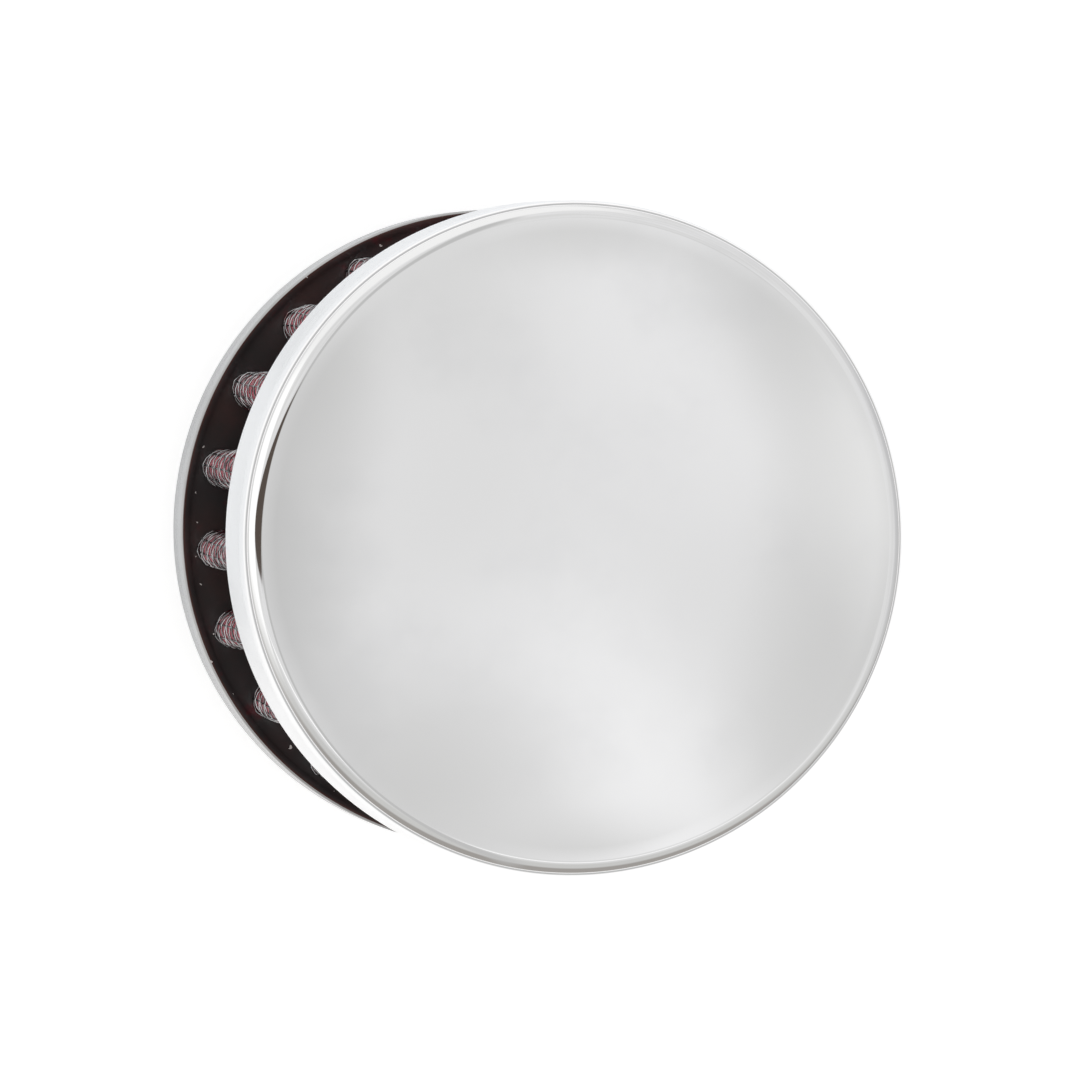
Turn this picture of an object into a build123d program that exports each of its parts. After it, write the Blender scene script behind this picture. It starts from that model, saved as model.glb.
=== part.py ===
from build123d import *
import math
import os

# Crankcase breather filter: a pleated cotton element between two sheet-metal
# cups, on a clamp-on neck tube. Millimetres, +Z up, neck down. The origin is
# the centre of the neck's mouth.

# Neck tube
neck_bore = 31.75
neck_wall = 1.2
neck_length = 16.0
neck_flange_width = 4.2
neck_flange_thickness = 1.2
neck_hole_clearance = 0.05
clamp_slot_count = 4
clamp_slot_width = 2.4
clamp_slot_depth = 10.5

# Sheet-metal cups
cup_sheet = 0.8
cap_diameter = 76.2
cap_depth = 12.4
cap_shoulder_radius = 2.0
cap_overhang = 0.4
base_depth = 8.1
base_bevel = 2.4

# Height of the pleats that shows between the two cups
open_height = 31.8

# Casting resin: how far its face lies below the base's edge, and its depth in the cap
base_potting_recess = 0.5
cap_potting_depth = 5.0

# Pleated element
pleat_count = 22
pleat_first_angle = 3.6
pleat_depth = 15.5
pleat_tip_clearance = 0.9
screen_thickness = 0.5
gauze_thickness = 1.85
gauze_fold_flats = 3

# Levels and radii that follow from the sizes above
base_floor = neck_length
base_edge = base_floor + base_depth
base_potting_face = base_edge - base_potting_recess
cap_edge = base_edge + open_height
cap_potting_face = cap_edge + cap_depth - cup_sheet - cap_potting_depth
neck_radius = neck_bore / 2 + neck_wall
cap_radius = cap_diameter / 2
base_radius = cap_radius - cap_overhang
pleat_tip_radius = min(base_radius, cap_radius) - cup_sheet - pleat_tip_clearance
pleat_root_radius = pleat_tip_radius - pleat_depth


def polar(radius, angle):
    """A point of the X-Y plane at a radius and an angle in degrees."""
    return Vector(radius, 0).rotate(Axis.Z, angle)


def cup_form(radius, depth, cut_corner, corner_size):
    """The solid form of a cup, floor up, with its edge at z = 0.

    The corner between floor and skirt is cut by fillet or by chamfer.
    """
    corner = (radius, 0, depth)
    section = make_face(Polyline((0, 0, 0), (radius, 0, 0), corner, (0, 0, depth), close=True))
    corner_vertex = section.vertices().sort_by_distance(corner)[0]
    return revolve(cut_corner(corner_vertex, corner_size), Axis.Z)


def slotted_neck():
    """A tube with clamp slots at its mouth and a flange under the base floor."""
    bore = neck_bore / 2
    flange = neck_radius + neck_flange_width
    flange_face = base_floor - neck_flange_thickness
    section = [
        (bore, 0),
        (neck_radius, 0),
        (neck_radius, flange_face),
        (flange, flange_face),
        (flange, base_floor),
        (neck_radius, base_floor),
        (neck_radius, base_potting_face),
        (bore, base_potting_face),
    ]
    outline = Polyline([(x, 0, z) for x, z in section], close=True)
    tube = revolve(make_face(outline), Axis.Z)
    slot_end = clamp_slot_depth - clamp_slot_width / 2
    run = Pos(0, (slot_end - neck_wall) / 2) * Rectangle(clamp_slot_width, slot_end + neck_wall)
    slot_shape = Plane.YZ * (run + Pos(0, slot_end) * Circle(clamp_slot_width / 2))
    slot = extrude(slot_shape, amount=neck_radius + neck_wall)
    step = 360 / clamp_slot_count
    return tube - [Rot(0, 0, k * step) * slot for k in range(clamp_slot_count)]


def fold_bend(centre, start, crest, end, rounded):
    """The outside of one fold, as an arc or as the few flats of a pressed cloth."""
    if rounded:
        return [ThreePointArc(start, crest, end)]
    spoke = start - centre
    sweep = 2 * spoke.get_signed_angle(crest - centre, Vector(0, 0, 1))
    turns = [sweep * k / gauze_fold_flats for k in range(gauze_fold_flats + 1)]
    points = [centre + spoke.rotate(Axis.Z, turn) for turn in turns]
    return list(Polyline(points).edges())


def pleat_contour(offset, rounded):
    """The closed line of all pleats at an offset from the middle of the gauze.

    Each fold is pressed shut, so the gauze turns about a line on its own inner
    face. Outside a fold the contour goes round that line, and inside it has a
    corner where the two walls meet.
    """
    fold = gauze_thickness + screen_thickness
    step = 360 / pleat_count
    tip_centre = polar(pleat_tip_radius - fold, 0)
    root_centre = polar(pleat_root_radius + fold, step / 2)
    across = root_centre - tip_centre
    lean = math.degrees(math.asin(gauze_thickness / across.length))
    along = across.normalized().rotate(Axis.Z, lean)
    normal = along.rotate(Axis.Z, -90)
    tip_bend = gauze_thickness / 2 + offset
    root_bend = gauze_thickness / 2 - offset

    def wall_end(start, bend, fold_angle):
        """Where a wall meets its bend, or else the other wall of its fold."""
        if bend > 0:
            return start
        mirror = polar(1, fold_angle + 90)
        return start - along * (start.dot(mirror) / along.dot(mirror))

    tip_end = wall_end(tip_centre + normal * tip_bend, tip_bend, 0)
    root_end = wall_end(root_centre - normal * root_bend, root_bend, step / 2)
    tip_start = Vector(tip_end.X, -tip_end.Y)
    next_root = Vector(root_end.X, -root_end.Y).rotate(Axis.Z, step)
    pleat = [Line(tip_end, root_end), Line(next_root, tip_start.rotate(Axis.Z, step))]
    if tip_bend > 0:
        tip_crest = tip_centre + polar(tip_bend, 0)
        pleat += fold_bend(tip_centre, tip_start, tip_crest, tip_end, rounded)
    if root_bend > 0:
        root_crest = root_centre - polar(root_bend, step / 2)
        pleat += fold_bend(root_centre, root_end, root_crest, next_root, rounded)
    turns = [pleat_first_angle + k * step for k in range(pleat_count)]
    return Wire([edge.rotate(Axis.Z, turn) for turn in turns for edge in pleat])


def pleated_sheet(outside, inside):
    """One pleated layer between two contours, standing between the two resin faces."""
    height = cap_potting_face - base_potting_face
    return Pos(0, 0, base_potting_face) * extrude(Face(outside, [inside]), amount=height)


gauze_face = gauze_thickness / 2
screen_face = gauze_face + screen_thickness
dirty_screen_side = pleat_contour(screen_face, rounded=True)
dirty_gauze_side = pleat_contour(gauze_face, rounded=False)
clean_gauze_side = pleat_contour(-gauze_face, rounded=False)
clean_screen_side = pleat_contour(-screen_face, rounded=False)

# The cap has a round shoulder, with a chamfer for its inside bend
cap_place = Pos(0, 0, cap_edge)
cap_form = cap_place * cup_form(cap_radius, cap_depth, fillet, cap_shoulder_radius)
cap_inside = cap_place * cup_form(
    cap_radius - cup_sheet, cap_depth - cup_sheet, chamfer, cap_shoulder_radius - cup_sheet
)

# The base has a bevelled shoulder of even thickness, and opens upwards
base_place = Pos(0, 0, base_edge) * Rot(180, 0, 0)
base_form = base_place * cup_form(base_radius, base_depth, chamfer, base_bevel)
base_inside_bevel = base_bevel - cup_sheet * (2 - math.sqrt(2))
base_inside = base_place * cup_form(
    base_radius - cup_sheet, base_depth - cup_sheet, chamfer, base_inside_bevel
)
neck_hole = Cylinder(neck_radius + neck_hole_clearance, 2 * base_edge)
neck_outside = Cylinder(neck_radius, 2 * base_edge)
base_resin = base_inside - neck_outside

nodes = {
    "neck_tube": slotted_neck(),
    "base_cup": base_form - base_inside - neck_hole,
    "base_potting": split(base_resin, Plane.XY.offset(base_potting_face), keep=Keep.BOTTOM),
    "outer_wire_screen": pleated_sheet(dirty_screen_side, dirty_gauze_side),
    "cotton_gauze": pleated_sheet(dirty_gauze_side, clean_gauze_side),
    "inner_wire_screen": pleated_sheet(clean_gauze_side, clean_screen_side),
    "cap_potting": split(cap_inside, Plane.XY.offset(cap_potting_face), keep=Keep.TOP),
    "top_cap": cap_form - cap_inside,
}

os.makedirs("parts", exist_ok=True)
for name, shape in nodes.items():
    export_step(shape, f"parts/{name}.step")
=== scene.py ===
"""Looks of a clamp-on crankcase breather filter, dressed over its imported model."""
import logging
import math
from dataclasses import dataclass
from enum import Enum
from functools import cached_property
from typing import Sequence

import bmesh
import bpy
from mathutils import Matrix, Vector, noise


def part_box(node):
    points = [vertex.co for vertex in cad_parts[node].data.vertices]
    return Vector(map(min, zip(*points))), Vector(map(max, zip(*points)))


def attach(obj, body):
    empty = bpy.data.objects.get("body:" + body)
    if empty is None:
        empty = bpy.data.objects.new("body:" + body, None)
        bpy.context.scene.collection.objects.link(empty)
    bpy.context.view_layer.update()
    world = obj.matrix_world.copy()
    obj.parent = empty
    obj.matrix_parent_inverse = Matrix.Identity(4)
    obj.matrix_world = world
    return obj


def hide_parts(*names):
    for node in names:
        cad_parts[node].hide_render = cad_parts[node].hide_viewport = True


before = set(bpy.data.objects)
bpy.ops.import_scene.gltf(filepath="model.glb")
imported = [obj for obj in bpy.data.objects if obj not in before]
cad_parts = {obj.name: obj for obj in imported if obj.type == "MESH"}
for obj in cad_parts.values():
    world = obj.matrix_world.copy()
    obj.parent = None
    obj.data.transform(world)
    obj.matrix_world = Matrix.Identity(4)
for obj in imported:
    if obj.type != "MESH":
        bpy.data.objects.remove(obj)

LOG = logging.getLogger("breather_filter")
MM = 0.001
FULL_TURN = 2.0 * math.pi
Z_AXIS = Vector((0.0, 0.0, 1.0))
# Room between the pleat tips and the inside of the base cup
TIP_CLEARANCE = 0.9 * MM
# Seed of the noise that makes the pleats uneven, so that every run builds the same shapes
NOISE_SEED = 7
Colour = tuple[float, float, float]
Profile = list[tuple[float, float]]
Socket = bpy.types.NodeSocket


class Slot(Enum):
    """Material slots of the part."""

    STEEL = "plated_steel"
    RESIN = "black_resin"
    WIRE = "screen_wire"
    COTTON = "red_cotton"
    CHROME = "chrome_plate"


class Family(Enum):
    """The two families of wires in a woven screen."""

    RINGS = "ring_wires"
    UPRIGHTS = "upright_wires"


def unit(angle: float) -> Vector:
    """Gives the direction of an angle in the XY plane.

    Args:
        angle: Angle from +X towards +Y, in radians.

    Returns:
        A vector of length one with two components.
    """
    return Vector((math.cos(angle), math.sin(angle)))


def rgba(colour: Colour) -> tuple[float, float, float, float]:
    """Adds a full alpha to a colour.

    Args:
        colour: Linear red, green and blue.

    Returns:
        The same colour with alpha one.
    """
    return (*colour, 1.0)


class Graph:
    """A node tree with short calls to fill it."""

    def __init__(self, tree: bpy.types.NodeTree) -> None:
        """Keeps the tree.

        Args:
            tree: Node tree of a material, a world or a group.
        """
        self.tree = tree

    def add(self, kind: str, inputs: dict | None = None, **settings: object) -> bpy.types.Node:
        """Adds a node and wires or fills its inputs.

        Args:
            kind: Node type.
            inputs: Input name or number to a value or to the output socket that feeds it.
            settings: Properties of the node.

        Returns:
            The new node.
        """
        node = self.tree.nodes.new(kind)
        for name, value in settings.items():
            setattr(node, name, value)
        for key, value in (inputs or {}).items():
            self.feed(node.inputs[key], value)
        return node

    def feed(self, socket: Socket, value: object) -> None:
        """Links an output to a socket, or sets the socket's own value.

        Args:
            socket: Input socket.
            value: Output socket, number, vector or colour.
        """
        if isinstance(value, Socket):
            self.tree.links.new(value, socket)
        else:
            socket.default_value = value

    def noise(self, place: object, scale: float, detail: float = 3.0, rough: float = 0.55) -> Socket:
        """Adds a noise texture.

        Args:
            place: Output socket with the coordinates.
            scale: Features per metre.
            detail: Octaves.
            rough: Weight of the finer octaves.

        Returns:
            The noise value, about 0.5 on average.
        """
        inputs = {"Vector": place, "Scale": scale, "Detail": detail, "Roughness": rough}
        return self.add("ShaderNodeTexNoise", inputs).outputs["Fac"]

    def remap(self, value: object, low: float, high: float, to_low: float, to_high: float) -> Socket:
        """Moves a value from one range to another with soft ends.

        Args:
            value: Output socket with the value.
            low: Start of the range that is read.
            high: End of the range that is read.
            to_low: Result at the start.
            to_high: Result at the end.

        Returns:
            The new value.
        """
        inputs = {"Value": value, "From Min": low, "From Max": high, "To Min": to_low, "To Max": to_high}
        node = self.add("ShaderNodeMapRange", inputs, interpolation_type="SMOOTHSTEP")
        return node.outputs["Result"]

    def math(self, operation: str, first: object, second: object = 0.0) -> Socket:
        """Adds one sum on numbers.

        Args:
            operation: Name of the operation.
            first: First number or socket.
            second: Second number or socket.

        Returns:
            The result.
        """
        return self.add("ShaderNodeMath", {0: first, 1: second}, operation=operation).outputs[0]

    def dot(self, first: object, second: object) -> Socket:
        """Adds a dot product.

        Args:
            first: Vector or socket.
            second: Vector or socket.

        Returns:
            The product.
        """
        node = self.add("ShaderNodeVectorMath", {0: first, 1: second}, operation="DOT_PRODUCT")
        return node.outputs["Value"]

    def length(self, vector: Socket) -> Socket:
        """Adds the length of a vector.

        Args:
            vector: Socket with the vector.

        Returns:
            The length.
        """
        return self.add("ShaderNodeVectorMath", {0: vector}, operation="LENGTH").outputs["Value"]

    def off_axis(self, place: Socket) -> Socket:
        """Adds the distance of a place from the Z axis.

        Args:
            place: Socket with the coordinates.

        Returns:
            The distance.
        """
        split = self.add("ShaderNodeSeparateXYZ", {0: place})
        flat = self.add("ShaderNodeCombineXYZ", {0: split.outputs[0], 1: split.outputs[1]})
        return self.length(flat.outputs[0])

    def bump(self, height: Socket, strength: float, distance: float) -> Socket:
        """Turns a height into a normal.

        Args:
            height: Socket with the height, about 0 to 1.
            strength: Share of the effect.
            distance: Height in metres that a value of one stands for.

        Returns:
            The normal.
        """
        inputs = {"Height": height, "Strength": strength, "Distance": distance}
        return self.add("ShaderNodeBump", inputs).outputs["Normal"]

    def mix(self, factor: object, first: object, second: object) -> Socket:
        """Blends two colours.

        Args:
            factor: Share of the second colour.
            first: Colour or socket at factor zero.
            second: Colour or socket at factor one.

        Returns:
            The blended colour.
        """
        node = self.add("ShaderNodeMix", data_type="RGBA")
        self.feed(node.inputs[0], factor)
        self.feed(node.inputs[6], first)
        self.feed(node.inputs[7], second)
        return node.outputs[2]


class Effects:
    """Shader node groups shared by the finishes."""

    @staticmethod
    def _start(name: str, inputs: Sequence[tuple[str, str]], outputs: Sequence[tuple[str, str]]) -> tuple[
            bpy.types.NodeTree, Graph, bpy.types.Node, bpy.types.Node]:
        """Starts a group with its sockets.

        Args:
            name: Name of the group.
            inputs: Pairs of socket name and socket type.
            outputs: Pairs of socket name and socket type.

        Returns:
            The group, its graph, its input node and its output node.
        """
        tree = bpy.data.node_groups.new(name, "ShaderNodeTree")
        for label, kind in inputs:
            tree.interface.new_socket(name=label, in_out="INPUT", socket_type=kind)
        for label, kind in outputs:
            tree.interface.new_socket(name=label, in_out="OUTPUT", socket_type=kind)
        graph = Graph(tree)
        return tree, graph, graph.add("NodeGroupInput"), graph.add("NodeGroupOutput")

    @classmethod
    def turned_marks(cls) -> bpy.types.NodeTree:
        """Marks that run round the axis, as forming a cup on a lathe or in a die leaves them.

        Returns:
            Group with a line value and a soft patch value, both from 0 to 1.
        """
        name = "turned_marks"
        if name in bpy.data.node_groups:
            return bpy.data.node_groups[name]
        outputs = (("Lines", "NodeSocketFloat"), ("Patches", "NodeSocketFloat"))
        tree, graph, entry, result = cls._start(name, (("Vector", "NodeSocketVector"),), outputs)
        place = entry.outputs["Vector"]
        height = graph.add("ShaderNodeSeparateXYZ", {0: place}).outputs[2]
        across = graph.add("ShaderNodeCombineXYZ", {0: graph.off_axis(place), 1: height})
        lines = graph.noise(across.outputs[0], 2600.0, 3.0, 0.7)
        patches = graph.noise(place, 55.0, 4.0)
        graph.feed(result.inputs["Lines"], lines)
        graph.feed(result.inputs["Patches"], patches)
        return tree

    @classmethod
    def dust(cls) -> bpy.types.NodeTree:
        """Sparse small specks of dust and lint.

        Returns:
            Group with a mask that is one on a speck.
        """
        name = "dust_specks"
        if name in bpy.data.node_groups:
            return bpy.data.node_groups[name]
        inputs = (("Vector", "NodeSocketVector"), ("Amount", "NodeSocketFloat"))
        tree, graph, entry, result = cls._start(name, inputs, (("Mask", "NodeSocketFloat"),))
        place = entry.outputs["Vector"]
        stir = graph.add("ShaderNodeTexNoise", {"Vector": place, "Scale": 2400.0, "Detail": 1.0})
        push = {0: stir.outputs["Color"], 1: (0.0006, 0.0006, 0.0006), 2: place}
        bent = graph.add("ShaderNodeVectorMath", push, operation="MULTIPLY_ADD").outputs[0]
        cells = graph.add("ShaderNodeTexVoronoi", {"Vector": bent, "Scale": 560.0, "Randomness": 1.0})
        pick = graph.add("ShaderNodeSeparateColor", {0: cells.outputs["Color"]})
        chosen = graph.math("LESS_THAN", pick.outputs[0], entry.outputs["Amount"])
        size = graph.remap(pick.outputs[1], 0.0, 1.0, 0.03, 0.11)
        dot = graph.math("LESS_THAN", cells.outputs["Distance"], size)
        graph.feed(result.inputs["Mask"], graph.math("MULTIPLY", chosen, dot))
        return tree


class Finish:
    """A surface finish that can be turned into a material."""

    slot: Slot

    def material(self) -> bpy.types.Material:
        """Makes the material once and hands it out again after that.

        Returns:
            The material of this finish.
        """
        name = f"{self.slot.value}_finish"
        if name in bpy.data.materials:
            return bpy.data.materials[name]
        made = bpy.data.materials.new(name)
        made.use_nodes = True
        graph = Graph(made.node_tree)
        made.node_tree.nodes.clear()
        shader = graph.add("ShaderNodeBsdfPrincipled")
        output = graph.add("ShaderNodeOutputMaterial")
        graph.feed(output.inputs["Surface"], shader.outputs["BSDF"])
        place = graph.add("ShaderNodeTexCoord")
        self.dress(graph, shader, place)
        return made

    def dress(self, graph: Graph, shader: bpy.types.Node, place: bpy.types.Node) -> None:
        """Fills the shader.

        Args:
            graph: Node graph of the material.
            shader: Principled shader of the material.
            place: Texture Coordinate node of the material.
        """
        raise NotImplementedError


@dataclass(frozen=True)
class ChromePlate(Finish):
    """Polished chrome plate with faint ripple and handling haze."""

    colour: Colour = (0.81, 0.809, 0.806)
    haze: Colour = (0.77, 0.77, 0.77)
    slot: Slot = Slot.CHROME

    def dress(self, graph: Graph, shader: bpy.types.Node, place: bpy.types.Node) -> None:
        """Fills the shader; see Finish.dress.

        Args:
            graph: Node graph of the material.
            shader: Principled shader of the material.
            place: Texture Coordinate node of the material.
        """
        spot = place.outputs["Object"]
        marks = graph.add("ShaderNodeGroup", {}, node_tree=Effects.turned_marks())
        graph.feed(marks.inputs["Vector"], spot)
        haze = graph.remap(marks.outputs["Patches"], 0.45, 0.75, 0.0, 1.0)
        graph.feed(shader.inputs["Base Color"], graph.mix(haze, rgba(self.colour), rgba(self.haze)))
        rough = graph.remap(marks.outputs["Patches"], 0.3, 0.8, 0.035, 0.075)
        graph.feed(shader.inputs["Roughness"], rough)
        shader.inputs["Metallic"].default_value = 1.0
        ripple = graph.noise(spot, 60.0, 1.0)
        graph.feed(shader.inputs["Normal"], graph.bump(ripple, 1.0, 0.02 * MM))


@dataclass(frozen=True)
class PlatedSteel(Finish):
    """Dull plated sheet steel with forming marks."""

    colour: Colour = (0.49, 0.485, 0.48)
    worn: Colour = (0.40, 0.395, 0.39)
    slot: Slot = Slot.STEEL

    def dress(self, graph: Graph, shader: bpy.types.Node, place: bpy.types.Node) -> None:
        """Fills the shader; see Finish.dress.

        Args:
            graph: Node graph of the material.
            shader: Principled shader of the material.
            place: Texture Coordinate node of the material.
        """
        marks = graph.add("ShaderNodeGroup", {}, node_tree=Effects.turned_marks())
        graph.feed(marks.inputs["Vector"], place.outputs["Object"])
        worn = graph.remap(marks.outputs["Patches"], 0.35, 0.7, 0.0, 0.8)
        graph.feed(shader.inputs["Base Color"], graph.mix(worn, rgba(self.colour), rgba(self.worn)))
        rough = graph.remap(marks.outputs["Lines"], 0.3, 0.7, 0.2, 0.36)
        graph.feed(shader.inputs["Roughness"], rough)
        shader.inputs["Metallic"].default_value = 1.0
        graph.feed(shader.inputs["Normal"], graph.bump(marks.outputs["Lines"], 0.3, 0.03 * MM))


@dataclass(frozen=True)
class CastResin(Finish):
    """Glossy cast black resin with brown depth, bled red oil, soft waves and dust."""

    colour: Colour = (0.032, 0.029, 0.029)
    brown: Colour = (0.052, 0.030, 0.028)
    oil: Colour = (0.095, 0.014, 0.020)
    dust: Colour = (0.55, 0.52, 0.50)
    thin: Colour = (0.070, 0.032, 0.027)
    thin_from: float = 37.1 * MM
    thin_to: float = 37.5 * MM
    slot: Slot = Slot.RESIN

    def dress(self, graph: Graph, shader: bpy.types.Node, place: bpy.types.Node) -> None:
        """Fills the shader; see Finish.dress.

        Args:
            graph: Node graph of the material.
            shader: Principled shader of the material.
            place: Texture Coordinate node of the material.
        """
        spot = place.outputs["Object"]
        depth = graph.remap(graph.noise(spot, 90.0, 4.0), 0.4, 0.75, 0.0, 1.0)
        body = graph.mix(depth, rgba(self.colour), rgba(self.brown))
        bled = graph.remap(graph.noise(spot, 230.0, 3.0), 0.60, 0.76, 0.0, 0.8)
        body = graph.mix(bled, body, rgba(self.oil))
        rim = graph.remap(graph.off_axis(spot), self.thin_from, self.thin_to, 0.0, 1.0)
        body = graph.mix(rim, body, rgba(self.thin))
        specks = graph.add("ShaderNodeGroup", {}, node_tree=Effects.dust())
        graph.feed(specks.inputs["Vector"], spot)
        specks.inputs["Amount"].default_value = 0.62
        graph.feed(shader.inputs["Base Color"], graph.mix(specks.outputs["Mask"], body, rgba(self.dust)))
        rough = graph.remap(graph.noise(spot, 140.0, 3.0), 0.35, 0.75, 0.06, 0.2)
        graph.feed(shader.inputs["Roughness"], rough)
        waves = graph.noise(spot, 160.0, 2.0)
        graph.feed(shader.inputs["Normal"], graph.bump(waves, 0.5, 0.4 * MM))


@dataclass(frozen=True)
class ScreenWire(Finish):
    """Bright drawn wire, here and there filmed with red filter oil, darkened in random patches by painted
    shade.
    """

    colour: Colour = (0.58, 0.58, 0.585)
    # Dark tone painted into the wire as shade
    painted_shade: Colour = (0.11, 0.108, 0.11)
    oil: Colour = (0.20, 0.03, 0.035)
    edge: Colour = (0.6, 0.6, 0.6)
    slot: Slot = Slot.WIRE

    def dress(self, graph: Graph, shader: bpy.types.Node, place: bpy.types.Node) -> None:
        """Fills the shader; see Finish.dress.

        Args:
            graph: Node graph of the material.
            shader: Principled shader of the material.
            place: Texture Coordinate node of the material.
        """
        spot = place.outputs["Object"]
        # Painted shade: random patches of the wire take the dark tone, standing in for the shade under the
        # cap
        painted_shade = graph.remap(graph.noise(spot, 700.0, 3.0), 0.35, 0.7, 0.0, 1.0)
        metal = graph.mix(painted_shade, rgba(self.colour), rgba(self.painted_shade))
        oiled = graph.remap(graph.noise(spot, 260.0, 3.0), 0.56, 0.72, 0.0, 0.8)
        graph.feed(shader.inputs["Base Color"], graph.mix(oiled, metal, rgba(self.oil)))
        rough = graph.remap(graph.noise(spot, 1200.0, 2.0), 0.3, 0.7, 0.10, 0.30)
        graph.feed(shader.inputs["Roughness"], rough)
        shader.inputs["Metallic"].default_value = 1.0
        shader.inputs["Specular Tint"].default_value = rgba(self.edge)


@dataclass(frozen=True)
class OiledCotton(Finish):
    """Layered woven cotton soaked in red filter oil."""

    colour: Colour = (0.32, 0.006, 0.030)
    deep: Colour = (0.04, 0.002, 0.005)
    lint: Colour = (0.46, 0.030, 0.075)
    thread: float = 0.42 * MM
    slot: Slot = Slot.COTTON

    def dress(self, graph: Graph, shader: bpy.types.Node, place: bpy.types.Node) -> None:
        """Fills the shader; see Finish.dress.

        Args:
            graph: Node graph of the material.
            shader: Principled shader of the material.
            place: Texture Coordinate node of the material.
        """
        spot = place.outputs["Object"]
        sheet = graph.add("ShaderNodeSeparateXYZ", {0: place.outputs["UV"]})
        turns = math.pi / self.thread
        across = graph.math("ABSOLUTE", graph.math("SINE", graph.math("MULTIPLY", sheet.outputs[0], turns)))
        along = graph.math("ABSOLUTE", graph.math("SINE", graph.math("MULTIPLY", sheet.outputs[1], turns)))
        weave = graph.math("MAXIMUM", across, along)
        fluff = graph.noise(spot, 1500.0, 4.0, 0.65)
        height = graph.math("ADD", weave, fluff)
        wet = graph.remap(graph.noise(spot, 110.0, 3.0), 0.35, 0.7, 0.0, 1.0)
        body = graph.mix(wet, rgba(self.colour), rgba(self.deep))
        lint = graph.remap(height, 1.25, 1.75, 0.0, 0.7)
        graph.feed(shader.inputs["Base Color"], graph.mix(lint, body, rgba(self.lint)))
        graph.feed(shader.inputs["Roughness"], graph.remap(wet, 0.0, 1.0, 0.75, 0.5))
        shader.inputs["Sheen Weight"].default_value = 0.25
        graph.feed(shader.inputs["Normal"], graph.bump(height, 0.8, 0.18 * MM))


class Shaper:
    """Small helpers round bmesh that every sub-assembly uses."""

    @staticmethod
    def spun(profile: Profile, steps: int, closed: bool) -> bmesh.types.BMesh:
        """Spins a profile once round the Z axis.

        Args:
            profile: Radius and height of each profile point.
            steps: Number of steps in the full turn.
            closed: True if the last point joins the first one.

        Returns:
            The spun body with outward normals.
        """
        bm = bmesh.new()
        points = [bm.verts.new((radius, 0.0, height)) for radius, height in profile]
        pairs = list(zip(points, points[1:]))
        if closed:
            pairs.append((points[-1], points[0]))
        edges = [bm.edges.new(pair) for pair in pairs]
        bmesh.ops.spin(bm, geom=points + edges, cent=(0, 0, 0), axis=Z_AXIS, angle=FULL_TURN, steps=steps,
                       use_merge=True)
        Shaper.close(bm)
        return bm

    @staticmethod
    def close(bm: bmesh.types.BMesh) -> None:
        """Merges doubled points and turns the faces outward.

        Args:
            bm: Body to clean.
        """
        bmesh.ops.remove_doubles(bm, verts=bm.verts[:], dist=1e-7)
        bmesh.ops.recalc_face_normals(bm, faces=bm.faces[:])

    @staticmethod
    def repeat(bm: bmesh.types.BMesh, count: int) -> None:
        """Repeats a body evenly round the Z axis.

        Args:
            bm: Body with one repeat in it.
            count: Number of repeats in the full turn.
        """
        everything = bm.verts[:] + bm.edges[:] + bm.faces[:]
        turn = FULL_TURN * (count - 1) / count
        bmesh.ops.spin(bm, geom=everything, cent=(0, 0, 0), axis=Z_AXIS, angle=turn, steps=count - 1,
                       use_duplicate=True)

    @staticmethod
    def piece(bm: bmesh.types.BMesh, name: str, finish: Finish) -> bpy.types.Object:
        """Turns a body into an object of the scene.

        Args:
            bm: Finished body, freed here.
            name: Name of the piece.
            finish: Finish of all its faces.

        Returns:
            The object, smooth shaded.
        """
        mesh = bpy.data.meshes.new(name)
        for face in bm.faces:
            face.smooth = True
        bm.to_mesh(mesh)
        bm.free()
        mesh.materials.append(finish.material())
        made = bpy.data.objects.new(name, mesh)
        bpy.context.scene.collection.objects.link(made)
        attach(made, "root")
        LOG.info("piece %s: %d faces", name, len(mesh.polygons))
        return made

    @staticmethod
    def dress_node(name: str, finish: Finish) -> None:
        """Gives a node of the frame that stays in sight its finish.

        Args:
            name: Name of the node.
            finish: Finish of all its faces.
        """
        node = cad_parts[name]
        node.data.materials.clear()
        node.data.materials.append(finish.material())
        LOG.info("node %s: %s", name, finish.slot.value)

    @staticmethod
    def arc(centre: tuple[float, float], radius: float, start: float, end: float, steps: int) -> Profile:
        """Points of a round corner in a profile.

        Args:
            centre: Radius and height of the corner's centre.
            radius: Corner radius.
            start: First angle in degrees, zero pointing outward and 90 up.
            end: Last angle in degrees.
            steps: Number of steps.

        Returns:
            Profile points from the first angle to the last.
        """
        turn = [math.radians(start + (end - start) * step / steps) for step in range(steps + 1)]
        return [(centre[0] + radius * math.cos(a), centre[1] + radius * math.sin(a)) for a in turn]


@dataclass(frozen=True)
class PleatForm:
    """How the media is folded, seen along the axis."""

    tip_radius: float
    depth: float = 15.5 * MM
    count: int = 22
    first_angle: float = math.radians(3.6)
    gauze: float = 1.85 * MM
    screen: float = 0.5 * MM

    @cached_property
    def root_radius(self) -> float:
        """Radius of the innermost line of the pleats, in metres."""
        return self.tip_radius - self.depth

    @cached_property
    def step(self) -> float:
        """Angle from one pleat to the next.

        Returns:
            Angle in radians.
        """
        return FULL_TURN / self.count

    @cached_property
    def fold(self) -> float:
        """Radius of the fold on the side that it bends away from.

        Returns:
            Radius in metres.
        """
        return self.gauze + self.screen

    @cached_property
    def wall_normal(self) -> float:
        """Direction that the flat wall between a tip and the next root faces.

        Returns:
            Angle in radians from the tip's own direction.
        """
        tip = unit(0.0) * (self.tip_radius - self.fold)
        root = unit(self.step / 2.0) * (self.root_radius + self.fold)
        span = root - tip
        heading = math.atan2(span.y, span.x) + math.asin(self.gauze / span.length)
        return heading - math.pi / 2.0


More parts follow.
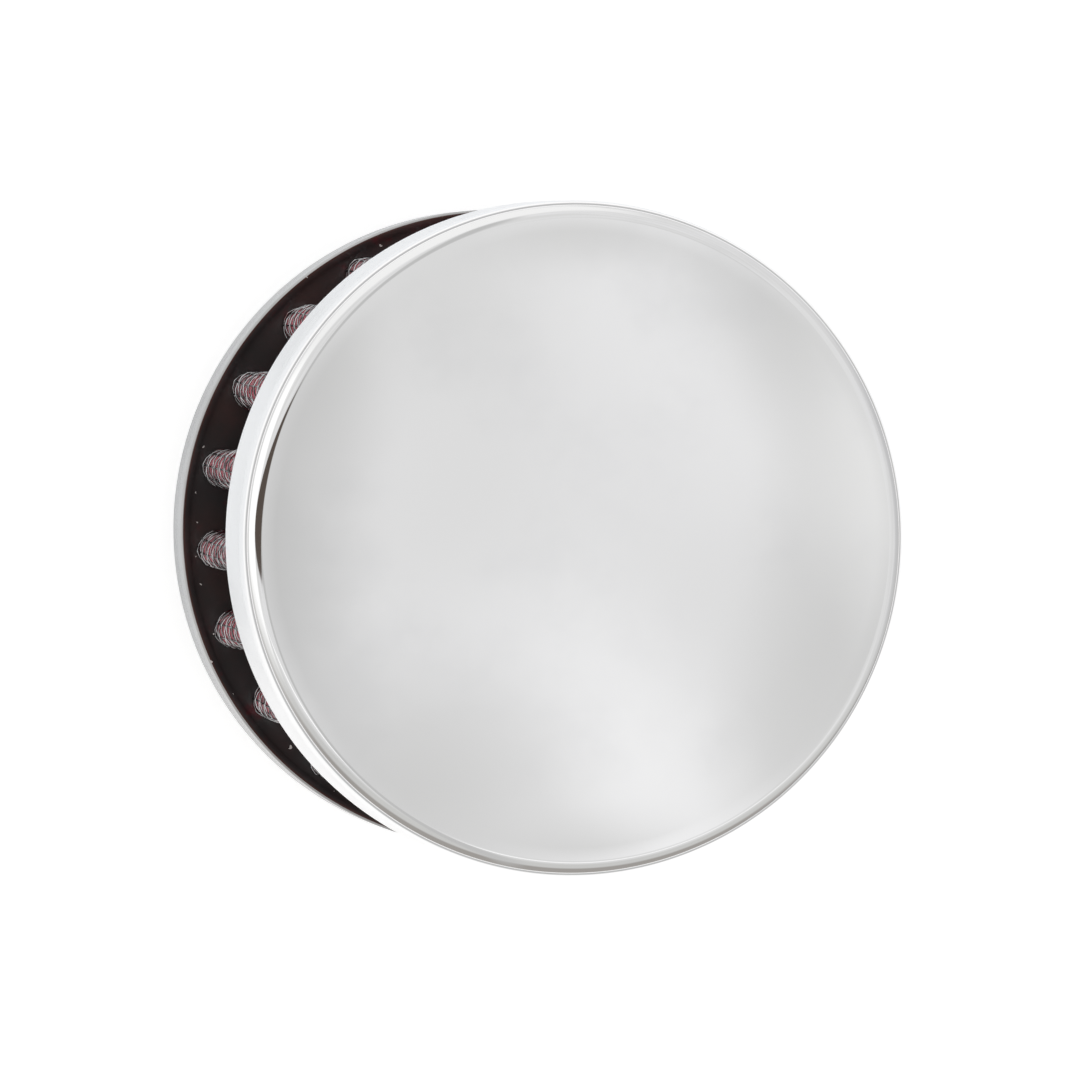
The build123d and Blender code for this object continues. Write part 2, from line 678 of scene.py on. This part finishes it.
@dataclass(frozen=True)
class PleatLine:
    """The pleated line at one distance from the middle of the gauze."""

    form: PleatForm
    offset: float
    crease: float = 0.35 * MM

    @cached_property
    def tip(self) -> tuple[Vector, float]:
        """Bend at the tip of a pleat.

        Returns:
            Centre and radius.
        """
        form = self.form
        wanted = form.gauze / 2.0 + self.offset
        radius = max(wanted, self.crease)
        back = (radius - wanted) / math.cos(form.wall_normal)
        return unit(0.0) * (form.tip_radius - form.fold - back), radius

    @cached_property
    def root(self) -> tuple[Vector, float]:
        """Bend at the root between two pleats.

        Returns:
            Centre and radius.
        """
        form = self.form
        wanted = form.gauze / 2.0 - self.offset
        radius = max(wanted, self.crease)
        out = (radius - wanted) / math.cos(form.wall_normal - form.step / 2.0)
        return unit(form.step / 2.0) * (form.root_radius + form.fold + out), radius

    @cached_property
    def lengths(self) -> tuple[float, float, float]:
        """Lengths of tip bend, wall and root bend in half a pleat.

        Returns:
            Three lengths in metres.
        """
        turn = self.form.wall_normal
        (tip, tip_bend), (root, root_bend) = self.tip, self.root
        wall = (root - unit(turn) * root_bend) - (tip + unit(turn) * tip_bend)
        return tip_bend * turn, wall.length, root_bend * (turn - self.form.step / 2.0)

    @cached_property
    def pleat(self) -> float:
        """Length of the line over a whole pleat.

        Returns:
            Length in metres.
        """
        return 2.0 * sum(self.lengths)

    def _half(self, run: float) -> tuple[Vector, float]:
        """Point and facing at a run along the first half of a pleat.

        Args:
            run: Length from the tip, at most half a pleat.

        Returns:
            The point and the angle its normal faces.
        """
        turn = self.form.wall_normal
        (tip, tip_bend), (root, root_bend) = self.tip, self.root
        bend, wall, _ = self.lengths
        if run <= bend:
            facing = run / tip_bend
            return tip + unit(facing) * tip_bend, facing
        if run <= bend + wall:
            start = tip + unit(turn) * tip_bend
            end = root - unit(turn) * root_bend
            return start.lerp(end, (run - bend) / wall), turn
        facing = turn - (run - bend - wall) / root_bend
        return root - unit(facing) * root_bend, facing

    def at(self, run: float, lift: float = 0.0) -> Vector:
        """Point of the line in the part's frame.

        Args:
            run: Length along the line from the first tip.
            lift: Distance off the line, outward.

        Returns:
            X and Y.
        """
        form = self.form
        turns, rest = divmod(run, self.pleat)
        mirrored = rest > self.pleat / 2.0
        point, facing = self._half(self.pleat - rest if mirrored else rest)
        point = point + unit(facing) * lift
        angle = math.atan2(point.y, point.x)
        angle = form.step - angle if mirrored else angle
        return unit(angle + turns * form.step + form.first_angle) * point.length

    def gap(self, x: float, y: float) -> float:
        """Distance from a place to the line.

        Args:
            x: Place along X.
            y: Place along Y.

        Returns:
            Distance, positive outside the line and negative inside it.
        """
        form = self.form
        angle = (math.atan2(y, x) - form.first_angle) % form.step
        angle = min(angle, form.step - angle)
        place = unit(angle) * math.hypot(x, y)
        (tip, tip_bend), (root, root_bend) = self.tip, self.root
        facing = unit(form.wall_normal)
        start = tip + facing * tip_bend
        end = root - facing * root_bend
        share = (place - start).dot(end - start) / (end - start).length_squared
        if share < 0.0:
            return (place - tip).length - tip_bend
        if share > 1.0:
            return root_bend - (place - root).length
        return (place - start).dot(facing)


@dataclass(frozen=True)
class Handwork:
    """The small unevenness that folding and potting by hand leaves in the pleats."""

    sway: float = 0.35 * MM
    size: float = 16.0 * MM
    ripple: float = 0.10 * MM
    ripple_size: float = 4.0 * MM
    held: float = 4.0 * MM

    def shift(self, place: Vector) -> Vector:
        """How far a point of the media is off its ideal place.

        Args:
            place: Ideal place.

        Returns:
            The shift.
        """
        slow = noise.noise_vector(place / self.size) * self.sway
        quick = noise.noise_vector(place / self.ripple_size + Vector((7.0, 3.0, 5.0))) * self.ripple
        return slow + quick

    def settle(self, bm: bmesh.types.BMesh, low: float, high: float) -> None:
        """Moves the points of a body and keeps its two ends at their height.

        Args:
            bm: Body to move.
            low: Height of the lower end.
            high: Height of the upper end.
        """
        for vert in bm.verts:
            move = self.shift(vert.co)
            reach = min(vert.co.z - low, high - vert.co.z) / self.held
            move.z *= max(0.0, min(1.0, reach))
            vert.co += move


@dataclass
class WovenScreen:
    """A plain-woven wire screen folded along a pleated line."""

    name: str
    node: str
    line: PleatLine
    low: float
    high: float
    finish: Finish
    handwork: Handwork
    pitch: float = 1.6 * MM
    wire: float = 0.19 * MM
    lean: float = math.radians(2.2)

    def _count(self) -> tuple[int, int]:
        """Number of wires.

        Returns:
            Upright wires in one pleat, always even, and ring wires.
        """
        uprights = 2 * round(self.line.pleat / self.pitch / 2.0)
        rings = round((self.high - self.low) / self.pitch)
        return uprights, rings

    def _ring(self, level: int) -> list[Vector]:
        """Path of one ring wire, all the way round.

        Args:
            level: Number of the wire from the lower end.

        Returns:
            Points of the closed path, two for each crossing.
        """
        uprights, rings = self._count()
        height = self.low + (level + 0.5) * (self.high - self.low) / rings
        start = (height - self.low) * math.tan(self.lean)
        path = []
        for step in range(2 * uprights * self.line.form.count):
            lift = self.wire / 2.0 * math.cos(math.pi * step / 2.0) * (-1) ** level
            spot = self.line.at(start + step * self.line.pleat / uprights / 2.0, lift)
            path.append(Vector((spot.x, spot.y, height)))
        return path

    def _upright(self, number: int) -> list[Vector]:
        """Path of one upright wire.

        Args:
            number: Number of the wire in its pleat.

        Returns:
            Points of the path, two for each crossing.
        """
        uprights, rings = self._count()
        path = []
        for step in range(2 * rings + 1):
            rise = step * (self.high - self.low) / rings / 2.0
            lift = -self.wire / 2.0 * math.sin(math.pi * step / 2.0) * (-1) ** number
            run = number * self.line.pleat / uprights + rise * math.tan(self.lean)
            spot = self.line.at(run, lift)
            path.append(Vector((spot.x, spot.y, self.low + rise)))
        return path

    def _drawn(self, paths: Sequence[Sequence[Vector]], closed: bool) -> bmesh.types.BMesh:
        """Draws wires along paths.

        Args:
            paths: Points of each wire.
            closed: True if each wire closes on itself, False if its ends are cut.

        Returns:
            The wires as one body.
        """
        curve = bpy.data.curves.new(self.name, "CURVE")
        curve.dimensions = "3D"
        curve.bevel_depth = self.wire / 2.0
        curve.bevel_resolution = 0
        curve.use_fill_caps = not closed
        for path in paths:
            spline = curve.splines.new("POLY")
            spline.points.add(len(path) - 1)
            spline.use_cyclic_u = closed
            for point, place in zip(spline.points, path):
                point.co = (*place, 1.0)
        holder = bpy.data.objects.new(self.name, curve)
        bpy.context.scene.collection.objects.link(holder)
        graph = bpy.context.evaluated_depsgraph_get()
        mesh = bpy.data.meshes.new_from_object(holder.evaluated_get(graph))
        bm = bmesh.new()
        bm.from_mesh(mesh)
        bpy.data.objects.remove(holder)
        bpy.data.curves.remove(curve)
        bpy.data.meshes.remove(mesh)
        return bm

    def build(self) -> None:
        """Builds both families of wires and puts them in the node's place."""
        uprights, rings = self._count()
        families = {
            Family.RINGS: [self._ring(level) for level in range(rings)],
            Family.UPRIGHTS: [self._upright(number) for number in range(uprights)],
        }
        for family, paths in families.items():
            closed = family is Family.RINGS
            bm = self._drawn(paths, closed)
            if not closed:
                Shaper.repeat(bm, self.line.form.count)
            Shaper.close(bm)
            self.handwork.settle(bm, self.low, self.high)
            made = Shaper.piece(bm, f"{self.name}_{family.value}", self.finish)
            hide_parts(self.node)


@dataclass
class CottonMedia:
    """The folded cotton gauze between the two screens."""

    form: PleatForm
    low: float
    high: float
    finish: Finish
    handwork: Handwork
    levels: int = 14
    samples: int = 44

    def _face(self, bm: bmesh.types.BMesh, offset: float) -> list[bmesh.types.BMEdge]:
        """Lays the closed line of one face at the lower end.

        Args:
            bm: Body that takes the line.
            offset: Distance of the face from the middle of the gauze.

        Returns:
            The edges of the line.
        """
        run = bm.verts.layers.float["run"]
        line = PleatLine(self.form, offset)
        total = self.samples * self.form.count
        verts = []
        for sample in range(total):
            length = sample * line.pleat / self.samples
            vert = bm.verts.new((*line.at(length), self.low))
            vert[run] = length
            verts.append(vert)
        return [bm.edges.new((verts[i], verts[(i + 1) % total])) for i in range(total)]

    def build(self) -> None:
        """Builds the folded gauze and puts it in the node's place."""
        bm = bmesh.new()
        run = bm.verts.layers.float.new("run")
        half = self.form.gauze / 2.0
        outer = self._face(bm, half)
        inner = self._face(bm, -half)
        bmesh.ops.bridge_loops(bm, edges=outer + inner)
        rims = outer + inner
        for _ in range(self.levels):
            grown = bmesh.ops.extrude_edge_only(bm, edges=rims)["geom"]
            points = [item for item in grown if isinstance(item, bmesh.types.BMVert)]
            rims = [item for item in grown if isinstance(item, bmesh.types.BMEdge)]
            bmesh.ops.translate(bm, vec=Z_AXIS * ((self.high - self.low) / self.levels), verts=points)
        bmesh.ops.bridge_loops(bm, edges=rims)
        Shaper.close(bm)
        chart = bm.loops.layers.uv.new("sheet")
        for face in bm.faces:
            for loop in face.loops:
                loop[chart].uv = (loop.vert[run], loop.vert.co.z)
        self.handwork.settle(bm, self.low, self.high)
        made = Shaper.piece(bm, "pleated_cotton_gauze", self.finish)
        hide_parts("cotton_gauze")


@dataclass
class ResinPour:
    """The resin poured in the base cup, drawn up where it wets metal and media."""

    form: PleatForm
    inner: float
    outer: float
    floor: float
    face: float
    rim: float
    finish: Finish
    handwork: Handwork
    bevel: float = 2.0 * MM
    rings: int = 76
    steps: int = 720
    climb: float = 0.07 * MM
    reach: float = 0.35 * MM
    lip: float = 0.57 * MM
    film: float = 0.05 * MM

    def __post_init__(self) -> None:
        """Finds the two outer faces of the media that stands in the resin."""
        half = self.form.gauze / 2.0 + self.form.screen
        self.dirty_side = PleatLine(self.form, half)
        self.clean_side = PleatLine(self.form, -half)

    def _rise(self, place: Vector) -> float:
        """Height of the wetted edge at a place on the face.

        Args:
            place: Point on the level face.

        Returns:
            Height above the level face.
        """
        shifted = place - self.handwork.shift(place)
        outside = self.dirty_side.gap(shifted.x, shifted.y)
        inside = -self.clean_side.gap(shifted.x, shifted.y)
        radius = place.xy.length
        near = min(max(outside, inside, 0.0), radius - self.inner)
        wall = (self.rim - self.face) * math.exp((radius - self.outer) / self.reach)
        return max(self.climb * math.exp(-near / self.reach), wall)

    def build(self) -> None:
        """Builds the poured resin and puts it in the node's place."""
        width = (self.outer - self.inner) / self.rings
        level = [(self.inner + ring * width, self.face) for ring in range(self.rings + 1)]
        spill = Shaper.arc((self.outer + self.lip - self.film, self.rim), self.film, 90.0, 0.0, 4)
        under = [(self.outer, self.rim - self.film), (self.outer, self.floor + self.bevel)]
        under += [(self.outer - self.bevel, self.floor), (self.inner, self.floor)]
        bm = Shaper.spun(level + spill + under, self.steps, closed=True)
        for vert in bm.verts:
            if abs(vert.co.z - self.face) < 0.01 * MM:
                vert.co.z += self._rise(vert.co.copy())
        made = Shaper.piece(bm, "base_resin_pour", self.finish)
        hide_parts("base_potting")


@dataclass
class DrawnCap:
    """The chromed cap, a cup drawn from sheet with a round shoulder."""

    radius: float
    low: float
    high: float
    finish: Finish
    sheet: float = 0.8 * MM
    shoulder: float = 2.0 * MM
    crown: float = 0.6 * MM
    taper: float = 0.1 * MM
    lip: float = 0.32 * MM
    crown_rings: int = 24
    bend_rings: int = 20
    steps: int = 512

    def _top(self, lift: float, out: float) -> Profile:
        """Profile of one side of the sheet from the middle to the open edge.

        Args:
            lift: Height of this side at the middle.
            out: Radius of this side at the open edge.

        Returns:
            Profile points.
        """
        bend = self.shoulder - (self.high - lift)
        edge = out - self.taper
        knee = edge - bend
        shares = [ring / self.crown_rings for ring in range(self.crown_rings + 1)]
        flat = [(knee * share, lift - self.crown * share ** 2) for share in shares]
        turned = Shaper.arc((knee, lift - self.crown - bend), bend, 88.0, 2.0, self.bend_rings)
        return flat + turned + [(out, self.low + self.lip)]

    def build(self) -> None:
        """Builds the cap and puts it in the node's place."""
        outside = self._top(self.high, self.radius)
        inside = self._top(self.high - self.sheet, self.radius - self.sheet)
        middle = (self.radius - self.sheet / 2.0, self.low + self.lip)
        edge = Shaper.arc(middle, self.lip, 0.0, -180.0, 8)
        bm = Shaper.spun(outside + edge + inside[::-1], self.steps, closed=False)
        made = Shaper.piece(bm, "drawn_chrome_cap", self.finish)
        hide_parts("top_cap")


@dataclass
class NeckTube:
    """The clamp-on neck tube with its flange and the slots at its mouth."""

    flange: float
    floor: float
    high: float
    finish: Finish
    wall: float = 1.2 * MM
    flange_width: float = 4.2 * MM
    flange_thickness: float = 1.2 * MM
    slots: int = 4
    slot_width: float = 2.4 * MM
    slot_depth: float = 10.5 * MM
    soft: float = 0.15 * MM
    crease: float = math.radians(35.0)
    steps: int = 256

    @property
    def outside(self) -> float:
        """Outer radius of the tube."""
        return self.flange - self.flange_width

    @property
    def bore(self) -> float:
        """Inner radius of the tube."""
        return self.outside - self.wall

    def _cutter(self) -> bpy.types.Object:
        """Makes the body that cuts all slots.

        Returns:
            An object that is out of sight and removed after the cut.
        """
        bm = bmesh.new()
        half = self.slot_width / 2.0
        straight = self.slot_depth - half
        reach = self.outside * 1.2
        bmesh.ops.create_circle(bm, cap_ends=True, segments=32, radius=half)
        lower = [vert for vert in bm.verts if vert.co.y < -1e-7]
        bmesh.ops.translate(bm, vec=(0.0, -straight * 1.2, 0.0), verts=lower)
        bmesh.ops.rotate(bm, matrix=Matrix.Rotation(math.pi / 2.0, 3, "X"), verts=bm.verts[:])
        bmesh.ops.rotate(bm, matrix=Matrix.Rotation(math.pi / 2.0, 3, "Z"), verts=bm.verts[:])
        bmesh.ops.translate(bm, vec=(self.bore * 0.5, 0.0, straight), verts=bm.verts[:])
        grown = bmesh.ops.extrude_face_region(bm, geom=bm.faces[:])["geom"]
        moved = [item for item in grown if isinstance(item, bmesh.types.BMVert)]
        bmesh.ops.translate(bm, vec=(reach - self.bore * 0.5, 0.0, 0.0), verts=moved)
        Shaper.repeat(bm, self.slots)
        bmesh.ops.recalc_face_normals(bm, faces=bm.faces[:])
        mesh = bpy.data.meshes.new("slot_cutter")
        bm.to_mesh(mesh)
        bm.free()
        cutter = bpy.data.objects.new("slot_cutter", mesh)
        bpy.context.scene.collection.objects.link(cutter)
        return cutter

    def build(self) -> None:
        """Builds the neck and puts it in the node's place."""
        soft = self.soft
        profile = Shaper.arc((self.bore + soft, soft), soft, 180.0, 270.0, 3)
        profile += Shaper.arc((self.outside - soft, soft), soft, 270.0, 360.0, 3)
        underside = self.floor - self.flange_thickness
        profile += [(self.outside, underside)]
        profile += Shaper.arc((self.flange - soft, underside + soft), soft, 270.0, 360.0, 3)
        profile += [(self.flange, self.floor), (self.outside, self.floor)]
        profile += [(self.outside, self.high), (self.bore, self.high)]
        tube = Shaper.spun(profile, self.steps, closed=True)
        made = Shaper.piece(tube, "slotted_neck_tube", self.finish)
        cutter = self._cutter()
        cut = made.modifiers.new("slots", "BOOLEAN")
        cut.object = cutter
        cut.solver = "EXACT"
        graph = bpy.context.evaluated_depsgraph_get()
        slotted = bpy.data.meshes.new_from_object(made.evaluated_get(graph))
        made.modifiers.clear()
        bm = bmesh.new()
        bm.from_mesh(slotted)
        Shaper.close(bm)
        bm.to_mesh(slotted)
        bm.free()
        slotted.set_sharp_from_angle(angle=self.crease)
        made.data = slotted
        bpy.data.objects.remove(cutter)
        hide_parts("neck_tube")


@dataclass
class BaseCup:
    """The plated base cup with its bevelled shoulder and neck hole."""

    radius: float
    neck: float
    low: float
    high: float
    finish: Finish
    clearance: float = 0.05 * MM
    sheet: float = 0.8 * MM
    bevel: float = 2.4 * MM
    soft: float = 0.25 * MM
    steps: int = 384

    def build(self) -> None:
        """Builds the cup and puts it in the node's place."""
        soft, hole = self.soft, self.neck + self.clearance
        part = soft * 0.7
        out, inn = self.radius, self.radius - self.sheet
        slope = self.sheet * math.tan(math.radians(22.5))
        foot, knee = out - self.bevel, self.low + self.bevel
        inner_foot, inner_knee = foot - slope, knee + slope
        inside = self.low + self.sheet
        profile = [(hole, self.low + soft), (hole + soft, self.low)]
        profile += [(foot - soft, self.low), (foot + part, self.low + part)]
        profile += [(out - part, knee - part), (out, knee + soft)]
        profile += Shaper.arc((out - soft, self.high - soft), soft, 0.0, 90.0, 6)
        profile += Shaper.arc((inn + soft, self.high - soft), soft, 90.0, 180.0, 6)
        profile += [(inn, inner_knee + soft), (inn - part, inner_knee - part)]
        profile += [(inner_foot + part, inside + part)]
        profile += [(inner_foot - soft, inside), (hole, inside)]
        bm = Shaper.spun(profile, self.steps, closed=True)
        made = Shaper.piece(bm, "pressed_base_cup", self.finish)
        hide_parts("base_cup")


@dataclass(frozen=True)
class Panel:
    """A soft oval of light or dark in the studio's surroundings."""

    aim: tuple[float, float, float]
    wide: float
    tall: float
    colour: Colour
    turn: float = 0.0
    full: float = 0.72
    gone: float = 1.3

    def over(self, graph: Graph, way: Socket, under: Socket) -> Socket:
        """Lays the panel over what is behind it.

        Args:
            graph: Graph of the world.
            way: Socket with the direction that is looked up.
            under: Socket with the colour behind the panel.

        Returns:
            The covered colour.
        """
        aim = Vector(self.aim).normalized()
        steady = Z_AXIS if abs(aim.z) < 0.8 else Vector((0.0, 1.0, 0.0))
        side = Matrix.Rotation(math.radians(self.turn), 3, aim) @ steady.cross(aim).normalized()
        rise = aim.cross(side)
        across = graph.dot(way, side / math.sin(math.radians(self.wide)))
        along = graph.dot(way, rise / math.sin(math.radians(self.tall)))
        squares = [graph.math("MULTIPLY", part, part) for part in (across, along)]
        oval = graph.math("SQRT", graph.math("ADD", *squares))
        mask = graph.remap(oval, self.full, self.gone, 1.0, 0.0)
        ahead = graph.math("GREATER_THAN", graph.dot(way, aim), 0.0)
        return graph.mix(graph.math("MULTIPLY", mask, ahead), under, rgba(self.colour))


@dataclass
class Studio:
    """Pale floor, soft surroundings and the camera of the photograph."""

    top: float
    radius: float
    yaw: float = math.radians(12.65)
    pitch: float = math.radians(1.72)
    distance: float = 20.0
    aside: float = 0.1183
    focal: float = 227.2
    sensor: float = 36.0
    floor_radius: float = 4.0
    floor_glow: float = 0.37
    floor_tones: tuple[Colour, Colour] = ((0.90, 0.90, 0.90), (0.94, 0.94, 0.94))
    # Painted shadow of the object on the floor, shown in reflections only
    painted_shadow_tone: Colour = (0.785, 0.80, 0.815)
    # Painted reflection: a dark ring on the floor, shown in reflections only, which draws a grey line on
    # the cap's shoulder
    painted_ring_tone: Colour = (0.42, 0.42, 0.425)
    air_tones: tuple[Colour, Colour] = ((0.83, 0.83, 0.83), (0.93, 0.93, 0.94))
    lamp_energy: float = 0.6
    lamp_spread: float = math.radians(80.0)
    lamp_turn: tuple[float, float, float] = (math.radians(12.0), math.radians(-14.0), 0.0)
    panels: tuple[Panel, ...] = (
        # Softboxes and grey cards round the object
        Panel((-1.0, 0.0, 0.62), 44.0, 22.0, (1.3, 1.3, 1.3), full=0.8, gone=1.15),
        Panel((1.0, 0.0, 0.15), 40.0, 34.0, (0.64, 0.64, 0.65), full=0.2),
        Panel((0.0, -1.0, 0.9), 60.0, 22.0, (0.70, 0.70, 0.69)),
        Panel((0.0, -1.0, 0.3), 60.0, 18.0, (0.42, 0.40, 0.38)),
        Panel((0.0, -0.276, 0.961), 30.0, 1.4, (1.3, 1.3, 1.3)),
        # Faint patches overhead, which the flat of the cap shows
        Panel((0.247, -0.112, 0.962), 4.0, 1.9, (1.06, 1.06, 1.07), -60.0, 0.0, 1.7),
        Panel((0.256, 0.040, 0.966), 5.2, 1.6, (0.98, 0.98, 0.99), -49.0, 0.0, 1.7),
        Panel((0.305, 0.050, 0.951), 4.6, 1.7, (0.74, 0.74, 0.74), -60.0, 0.0, 1.6),
        Panel((0.312, -0.060, 0.948), 4.6, 1.6, (0.75, 0.75, 0.75), 80.0, 0.0, 1.6),
        Panel((0.050, 0.0, 0.9987), 3.44, 40.0, (0.63, 0.63, 0.63), full=0.9, gone=1.85),
        Panel((0.160, -0.118, 0.980), 3.2, 2.4, (0.75, 0.75, 0.75), 0.0, 0.0, 1.6),
        Panel((0.225, -0.147, 0.963), 3.4, 1.0, (0.78, 0.78, 0.78), 0.0, 0.2, 1.6),
        Panel((0.222, 0.084, 0.971), 3.0, 0.9, (0.79, 0.79, 0.79), 0.0, 0.2, 1.6),
        Panel((0.125, 0.030, 0.992), 1.5, 2.0, (0.69, 0.69, 0.69), 0.0, 0.1, 1.6),
        Panel((0.335, 0.010, 0.942), 1.7, 3.4, (0.97, 0.97, 0.97), 0.0, 0.2, 1.6),
        # A dark strip on the horizon, a rear softbox and the camera's own dark front
        Panel((0.84, -0.54, 0.02), 22.0, 5.0, (0.24, 0.24, 0.24), full=0.5, gone=1.2),
        Panel((-0.234, 0.875, 0.42), 38.0, 27.0, (1.08, 1.08, 1.08), full=0.75, gone=1.15),
        Panel((-0.285, 0.018, 0.958), 22.0, 5.8, (0.110, 0.088, 0.076), full=0.93, gone=1.07),
    )

    def camera(self) -> None:
        """Sets the camera up."""
        turn = Matrix.Rotation(self.pitch, 3, "X") @ Matrix.Rotation(self.yaw, 3, "Y")
        place = turn.transposed() @ (Vector((-self.aside, 0.0, self.distance)) * self.radius)
        data = bpy.data.cameras.new("studio_camera")
        data.lens = self.focal
        data.sensor_width = self.sensor
        data.clip_start = 0.01
        data.clip_end = 50.0
        held = bpy.data.objects.new("studio_camera", data)
        held.matrix_world = Matrix.Translation(place + Z_AXIS * self.top) @ turn.transposed().to_4x4()
        bpy.context.scene.collection.objects.link(held)
        bpy.context.scene.camera = held

    def floor(self) -> None:
        """Lays the floor, whose reflections alone show a painted shadow near the object and a painted dark
        ring further out.
        """
        bm = bmesh.new()
        bmesh.ops.create_circle(bm, cap_ends=True, segments=96, radius=self.floor_radius)
        mesh = bpy.data.meshes.new("studio_floor")
        bm.to_mesh(mesh)
        bm.free()
        paint = bpy.data.materials.new("studio_floor")
        paint.use_nodes = True
        graph = Graph(paint.node_tree)
        shader = paint.node_tree.nodes["Principled BSDF"]
        place = graph.add("ShaderNodeTexCoord").outputs["Object"]
        lit = graph.mix(graph.noise(place, 3.0, 2.0), *map(rgba, self.floor_tones))
        away = graph.length(place)
        side = graph.add("ShaderNodeSeparateXYZ", {0: place}).outputs[1]
        # Painted shadow: within about 0.1 m of the middle, except on the -Y side, the floor seen in
        # reflections is darker
        close_by = graph.remap(away, 0.08, 0.14, 1.0, 0.0)
        shade = graph.math("MULTIPLY", close_by, graph.remap(side, -0.04, 0.0, 0.0, 1.0))
        near = graph.mix(shade, lit, rgba(self.painted_shadow_tone))
        # Painted reflection: a dark ring from about 0.13 m to 0.9 m out, mixed in for reflections only
        start = graph.remap(away, 0.13, 0.24, 0.0, 1.0)
        ring = graph.math("MULTIPLY", start, graph.remap(away, 0.45, 0.9, 1.0, 0.0))
        mirrored = graph.mix(ring, near, rgba(self.painted_ring_tone))
        glossy = graph.add("ShaderNodeLightPath").outputs["Is Glossy Ray"]
        tone = graph.mix(glossy, lit, mirrored)
        graph.feed(shader.inputs["Base Color"], tone)
        graph.feed(shader.inputs["Emission Color"], tone)
        shader.inputs["Emission Strength"].default_value = self.floor_glow
        shader.inputs["Roughness"].default_value = 0.9
        mesh.materials.append(paint)
        laid = bpy.data.objects.new("studio_floor", mesh)
        bpy.context.scene.collection.objects.link(laid)

    def world(self) -> None:
        """Sets the surroundings that light the object and show in its chrome."""
        world = bpy.data.worlds.new("studio")
        world.use_nodes = True
        bpy.context.scene.world = world
        graph = Graph(world.node_tree)
        way = graph.add("ShaderNodeTexCoord").outputs["Generated"]
        cloud = graph.remap(graph.noise(way, 6.0, 1.0), 0.3, 0.7, 0.0, 1.0)
        tone = graph.mix(cloud, *map(rgba, self.air_tones))
        for panel in self.panels:
            tone = panel.over(graph, way, tone)
        graph.feed(world.node_tree.nodes["Background"].inputs["Color"], tone)

    def lamp(self) -> None:
        """Hangs a wide soft lamp over the floor that the chrome doesn't show."""
        data = bpy.data.lights.new("overhead_lamp", "SUN")
        data.energy = self.lamp_energy
        data.angle = self.lamp_spread
        hung = bpy.data.objects.new("overhead_lamp", data)
        hung.rotation_euler = self.lamp_turn
        hung.visible_glossy = False
        bpy.context.scene.collection.objects.link(hung)

    def build(self) -> None:
        """Sets the whole studio up."""
        self.camera()
        self.floor()
        self.world()
        self.lamp()
        bpy.context.scene.view_settings.view_transform = "Standard"


def main() -> None:
    """Builds every sub-assembly over the frame, then the studio."""
    logging.basicConfig(level=logging.INFO, format="%(name)s %(message)s")
    noise.seed_set(NOISE_SEED)
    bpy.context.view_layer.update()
    cap_low, cap_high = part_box("top_cap")
    cup_low, cup_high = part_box("base_cup")
    pot_low, pot_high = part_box("base_potting")
    media_low, media_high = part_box("outer_wire_screen")
    neck_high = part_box("neck_tube")[1]
    steel, resin, wire = PlatedSteel(), CastResin(), ScreenWire()
    cotton, chrome = OiledCotton(), ChromePlate()
    handwork = Handwork()

    cap = DrawnCap(cap_high[0], cap_low[2], cap_high[2], chrome)
    neck = NeckTube(neck_high[0], cup_low[2], neck_high[2], steel)
    cup = BaseCup(cup_high[0], neck.outside, cup_low[2], cup_high[2], steel)
    form = PleatForm(cup.radius - cup.sheet - TIP_CLEARANCE)
    pour = ResinPour(form, neck.outside, pot_high[0], pot_low[2], pot_high[2], cup.high, resin, handwork)
    ends = (media_low[2], media_high[2])
    media = CottonMedia(form, *ends, cotton, handwork)
    middle = (form.gauze + form.screen) / 2.0
    dirty_side, clean_side = PleatLine(form, middle), PleatLine(form, -middle)
    outer = WovenScreen("outer_screen", "outer_wire_screen", dirty_side, *ends, wire, handwork)
    inner = WovenScreen("inner_screen", "inner_wire_screen", clean_side, *ends, wire, handwork,
                        pitch=2.4 * MM, wire=0.3 * MM)
    for assembly in (cap, cup, pour, media, outer, inner, neck):
        assembly.build()
    Shaper.dress_node("cap_potting", resin)
    Studio(cap.high, cap.radius).build()


if __name__ == "__main__":
    main()
